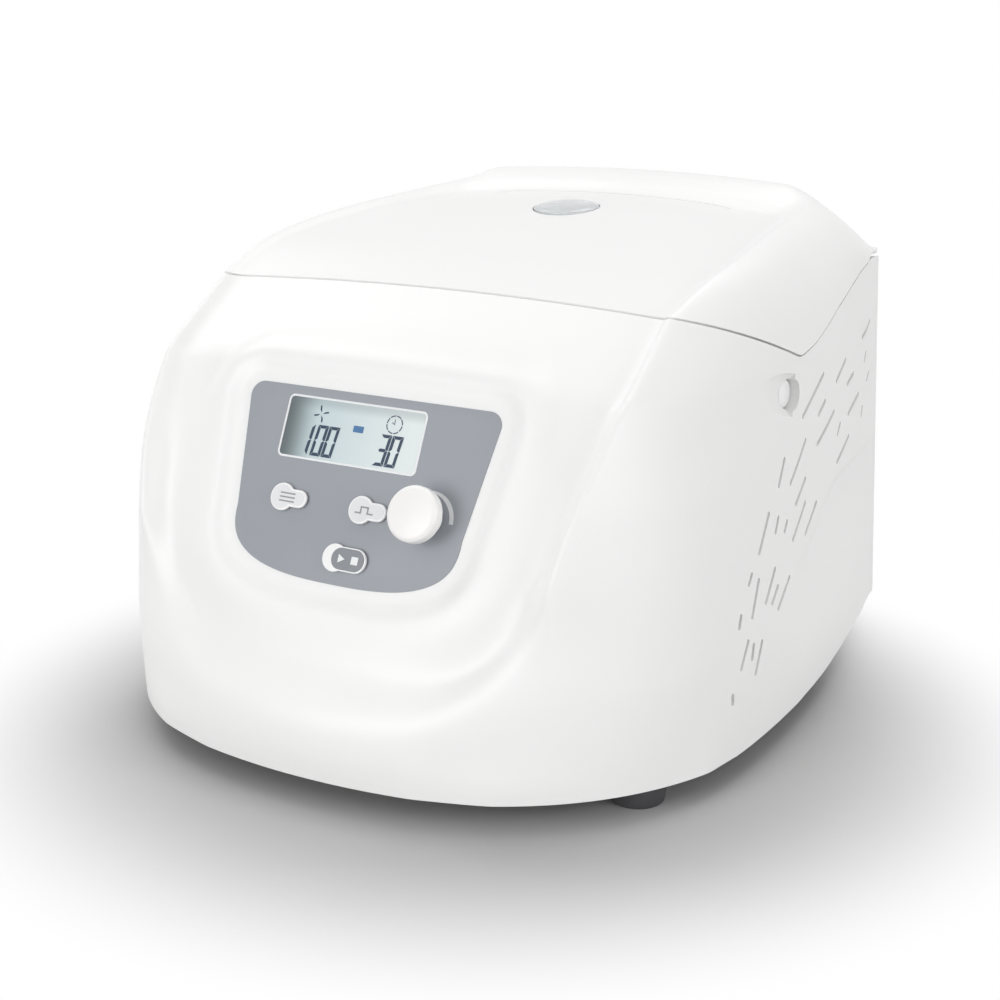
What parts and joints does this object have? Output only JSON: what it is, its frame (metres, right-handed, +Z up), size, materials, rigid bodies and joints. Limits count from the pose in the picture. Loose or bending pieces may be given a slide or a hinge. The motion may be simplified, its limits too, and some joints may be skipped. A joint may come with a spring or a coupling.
{
  "type": "benchtop centrifuge",
  "caption": "Compact high-speed bench centrifuge: moulded case with a rear-hinged lid, round sight glass, tilted control panel with display, keys and a knob, and a fixed-angle rotor in a bowl.",
  "frame": {"origin": "on the bench, under the middle of the bounding box", "axes": "+Z up, front and control panel towards -Y, +X to the right seen from the front"},
  "size_m": [0.2796, 0.3395, 0.2181],
  "materials": {
    "white": "satin white",
    "panel_grey": "matte",
    "dark_plastic": "matte",
    "rubber": "matte",
    "steel": "brushed",
    "rotor_alloy": "anodised",
    "sight_glass": "clear",
    "display": "gloss",
    "circuit_board": "matte",
    "liner_grey": "matte"
  },
  "bodies": {
    "case": {"base_pan": "dark_plastic", "capacitor": "steel", "chamber_bowl": "steel", "chamber_deck": "liner_grey", "chamber_gasket": "rubber", "control_board": "circuit_board", "encoder": "steel", "fan_frame": "dark_plastic", "foot_front_left": "rubber", "foot_front_right": "rubber", "foot_rear_left": "rubber", "foot_rear_right": "rubber", "fuse_holder": "dark_plastic", "hinge_bracket_left": "steel", "hinge_bracket_right": "steel", "hinge_pin_left": "steel", "hinge_pin_right": "steel", "latch_block": "dark_plastic", "main_housing": "white", "motor": "dark_plastic", "motor_damper_1": "rubber", "motor_damper_2": "rubber", "motor_damper_3": "rubber", "motor_plate": "steel", "panel_overlay": "panel_grey", "power_board": "circuit_board", "power_inlet": "dark_plastic", "rear_panel": "white", "release_spring": "steel", "screen_module": "dark_plastic", "screen_window": "display", "switch_frame": "dark_plastic", "transformer": "dark_plastic"},
    "lid": {"lid_shell": "white", "lid_liner": "liner_grey", "sight_glass": "sight_glass", "sight_glass_ring": "dark_plastic", "lid_arm_left": "white", "lid_arm_right": "white", "lid_hook": "steel"},
    "rotor": {"rotor": "rotor_alloy", "rotor_nut": "dark_plastic", "motor_shaft": "steel"},
    "speed_knob": {"speed_knob": "white"},
    "key_left": {"key_left": "white"},
    "key_middle": {"key_middle": "white"},
    "key_lower": {"key_lower": "white"},
    "release_button": {"release_button": "white"},
    "latch_bolt": {"latch_bolt": "steel"},
    "power_switch": {"power_switch": "dark_plastic"},
    "fuse_drawer": {"fuse_drawer": "dark_plastic"},
    "fan_wheel": {"fan_wheel": "dark_plastic"}
  },
  "joints": [
    {"name": "lid_hinge", "type": "hinge", "parent": "case", "child": "lid", "pos_m": [0, 0.16478, 0.18239], "axis": [-1, 0, 0], "range_deg": [0, 75]},
    {"name": "rotor_spin", "type": "hinge", "parent": "case", "child": "rotor", "pos_m": [0, 0.04448, 0.0847], "axis": [0, 0, 1], "continuous": true},
    {"name": "knob_turn", "type": "hinge", "parent": "case", "child": "speed_knob", "pos_m": [0.0365, -0.12717, 0.10961], "axis": [0, -0.9063, 0.4227], "continuous": true},
    {"name": "release_push", "type": "slide", "parent": "case", "child": "release_button", "axis": [-1, 0, 0], "range_m": [0, 0.003], "stiffness_N_per_m": 1200, "deforming": ["release_spring"]},
    {"name": "bolt_slide", "type": "slide", "parent": "case", "child": "latch_bolt", "axis": [-1, 0, 0], "range_m": [0, 0.003]},
    {"name": "power_tilt", "type": "hinge", "parent": "case", "child": "power_switch", "pos_m": [0.07, 0.15311, 0.10101], "axis": [-1, 0, 0], "range_deg": [0, 20]},
    {"name": "fuse_pull", "type": "slide", "parent": "case", "child": "fuse_drawer", "axis": [0, 1, 0], "range_m": [0, 0.012]},
    {"name": "fan_spin", "type": "hinge", "parent": "case", "child": "fan_wheel", "pos_m": [-0.045, 0.15858, 0.07301], "axis": [0, 1, 0], "continuous": true},
    {"name": "key_left_push", "type": "slide", "parent": "case", "child": "key_left", "axis": [0, 0.9063, -0.4227], "range_m": [0, 0.0007], "stiffness_N_per_m": 800},
    {"name": "key_middle_push", "type": "slide", "parent": "case", "child": "key_middle", "axis": [0, 0.9063, -0.4227], "range_m": [0, 0.0007], "stiffness_N_per_m": 800},
    {"name": "key_lower_push", "type": "slide", "parent": "case", "child": "key_lower", "axis": [0, 0.9063, -0.4227], "range_m": [0, 0.0007], "stiffness_N_per_m": 800}
  ],
  "couplings": [
    {"joint": "bolt_slide", "follows": "release_push", "ratio": 1}
  ]
}
